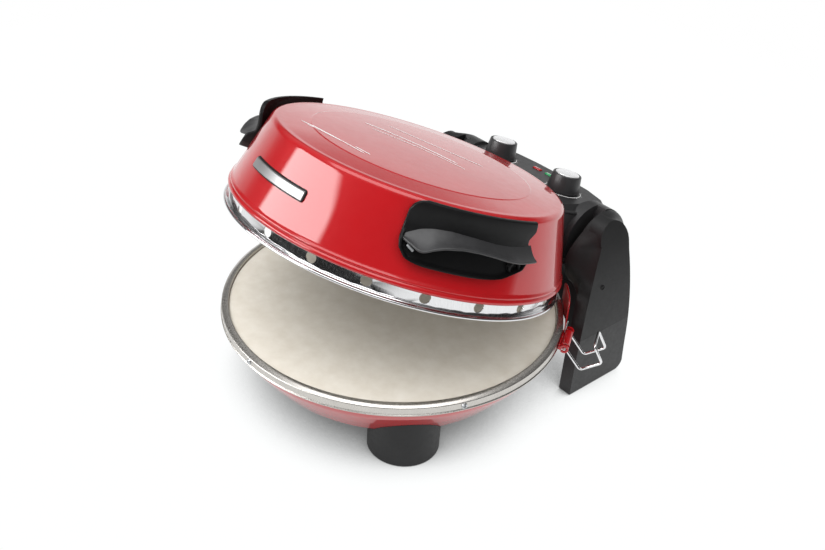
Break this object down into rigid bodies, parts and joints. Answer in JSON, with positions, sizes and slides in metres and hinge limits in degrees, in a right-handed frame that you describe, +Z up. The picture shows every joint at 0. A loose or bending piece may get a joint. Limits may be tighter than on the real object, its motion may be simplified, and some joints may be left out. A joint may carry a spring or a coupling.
{
  "type": "countertop pizza oven",
  "caption": "Round countertop pizza oven with a baking stone, a hinged heated lid, finger handles, control knobs and a wire bail.",
  "frame": {"origin": "on the table, under the centre of the baking stone", "axes": "+Z up; the front of the oven, opposite the hinge, faces -Y; +X is the user's right when standing in front"},
  "size_m": [0.3521, 0.3883, 0.2721],
  "materials": {
    "red_enamel": "gloss red enamel",
    "rim_steel": "satin stainless steel",
    "ring_steel": "polished stainless steel",
    "screw_steel": "zinc plated",
    "reflector": "aluminised sheet",
    "heater_tube": "oxidised heater sheath",
    "insulation": "mineral wool",
    "stone": "unglazed refractory stone",
    "black_plastic": "satin heat proof plastic",
    "black_gloss": "smooth black plastic",
    "rubber": "rubber",
    "wire": "bright steel wire",
    "cap_silver": "silver lacquered plastic",
    "ring_white": "white",
    "lamp_red": "red lens",
    "lamp_green": "green lens",
    "pin_steel": "ground steel",
    "bush": "natural nylon",
    "ceramic_body": "steatite",
    "copper": "copper"
  },
  "bodies": {
    "base": {"base_bowl": "red_enamel", "base_trim_ring": "rim_steel", "trim_screws": "screw_steel", "lower_reflector": "reflector", "lower_element": "heater_tube", "lower_element_clips": "screw_steel", "base_insulation": "insulation", "baking_stone": "stone", "front_foot_right": "black_plastic", "front_foot_left": "black_plastic", "foot_pads": "rubber", "foot_screws": "screw_steel", "leg_right": "black_plastic", "leg_left": "black_plastic", "leg_shoe_right": "black_plastic", "leg_shoe_left": "black_plastic", "leg_screws": "screw_steel", "rear_bridge": "black_plastic", "rear_apron": "red_enamel", "hinge_pins": "pin_steel", "bail_bracket": "red_enamel", "mains_cord": "rubber", "strain_relief": "rubber", "mains_plug": "black_gloss"},
    "lid": {"lid_shell": "red_enamel", "lid_vent_ring": "ring_steel", "lid_reflector": "reflector", "lid_insulation": "insulation", "upper_element": "heater_tube", "upper_element_clips": "screw_steel", "handle_right": "black_plastic", "handle_left": "black_plastic", "handle_screws": "screw_steel", "badge_plate": "cap_silver", "control_housing": "black_plastic", "control_panel": "black_plastic", "rear_cover": "black_plastic", "cover_screws": "screw_steel", "hinge_bushes": "bush", "hinge_washers": "screw_steel", "dial_rings": "ring_white", "pilot_lamp_red": "lamp_red", "pilot_lamp_green": "lamp_green", "thermostat": "ceramic_body", "timer": "black_gloss", "terminal_block": "bush", "thermostat_bulb": "copper"},
    "thermostat_knob_body": {"thermostat_knob": "black_plastic", "thermostat_knob_cap": "cap_silver", "thermostat_spindle": "pin_steel"},
    "timer_knob_body": {"timer_knob": "black_plastic", "timer_knob_cap": "cap_silver", "timer_spindle": "pin_steel"},
    "wire_bail_body": {"wire_bail": "wire"}
  },
  "joints": [
    {"name": "lid_hinge", "type": "hinge", "parent": "base", "child": "lid", "pos_m": [0, 0.172, 0.1348], "axis": [-1, 0, 0], "range_deg": [-20.2, 65]},
    {"name": "thermostat_knob_turn", "type": "hinge", "parent": "lid", "child": "thermostat_knob_body", "pos_m": [0.0445, 0.17461, 0.166], "axis": [0, -0.2368, -0.9715], "range_deg": [0, 270]},
    {"name": "timer_knob_turn", "type": "hinge", "parent": "lid", "child": "timer_knob_body", "pos_m": [-0.0445, 0.17461, 0.166], "axis": [0, -0.2368, -0.9715], "range_deg": [0, 300]},
    {"name": "wire_bail_swing", "type": "hinge", "parent": "base", "child": "wire_bail_body", "pos_m": [0.14355, 0.09145, 0.078], "axis": [0.5373, -0.8434, 0], "range_deg": [-25, 55]}
  ]
}
